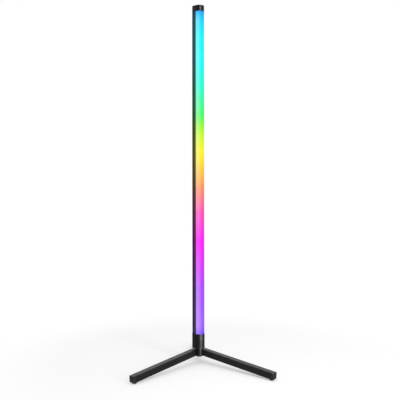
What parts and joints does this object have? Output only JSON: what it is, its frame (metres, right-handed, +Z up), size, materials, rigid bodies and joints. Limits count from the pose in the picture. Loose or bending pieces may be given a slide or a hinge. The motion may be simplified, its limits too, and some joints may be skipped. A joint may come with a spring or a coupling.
{
  "type": "corner floor lamp",
  "caption": "Slim floor lamp: upright light pole with a milky glowing front and a dark metal back, swivelling on a low tripod of square tubes.",
  "frame": {"origin": "middle of the whole lamp's footprint box, on the floor", "axes": "+Z up; the two front legs open towards -Y, the rear leg points along +Y"},
  "size_m": [0.5256, 0.4841, 1.4],
  "materials": {
    "black_paint": "satin black powder coat, faint fine texture",
    "black_plastic": "satin black moulded plastic",
    "foot_rubber": "matt black rubber",
    "black_screw": "black oxide steel",
    "zinc_steel": "bright zinc plated steel",
    "nylon": "black nylon",
    "jack_brass": "nickel plated brass",
    "lead_insulation": "black wire insulation",
    "board": "green circuit board",
    "foam_tape": "grey foam tape",
    "tinned_copper": "tinned copper",
    "black_anodised": "black anodised, fine lengthwise extrusion lines",
    "white_tape": "white flexible circuit",
    "light_chip": "clear resin over a white body",
    "diffuser_glow": "milky silicone-soft plastic, lit from inside in a colour sweep"
  },
  "bodies": {
    "base": {"hub": "black_paint", "hub_plug": "black_plastic", "leg_left": "black_paint", "leg_right": "black_paint", "leg_rear": "black_paint", "leg_plug_left": "black_plastic", "leg_plug_right": "black_plastic", "leg_plug_rear": "black_plastic", "foot_left": "foot_rubber", "foot_right": "foot_rubber", "foot_rear": "foot_rubber", "leg_screws": "black_screw", "foot_screws": "zinc_steel", "retaining_washer": "zinc_steel", "retaining_screw": "zinc_steel"},
    "pole": {"swivel_bush": "nylon", "wave_washer": "zinc_steel", "base_sleeve": "black_plastic", "sleeve_screws": "zinc_steel", "dc_jack": "black_plastic", "jack_pin": "jack_brass", "jack_nut": "zinc_steel", "power_leads": "lead_insulation", "control_board": "board", "board_pad": "foam_tape", "tape_leads": "tinned_copper", "pole_lower": "black_anodised", "pole_middle": "black_anodised", "pole_upper": "black_anodised", "joiner_lower": "zinc_steel", "joiner_upper": "zinc_steel", "joiner_screws": "black_screw", "light_tape": "white_tape", "light_chips": "light_chip", "diffuser": "diffuser_glow", "top_cap": "black_plastic", "cap_screws": "black_screw"}
  },
  "joints": [
    {"name": "pole_swivel", "type": "hinge", "parent": "base", "child": "pole", "pos_m": [0, -0.00528, 0.0605], "axis": [0, 0, 1], "continuous": true}
  ]
}
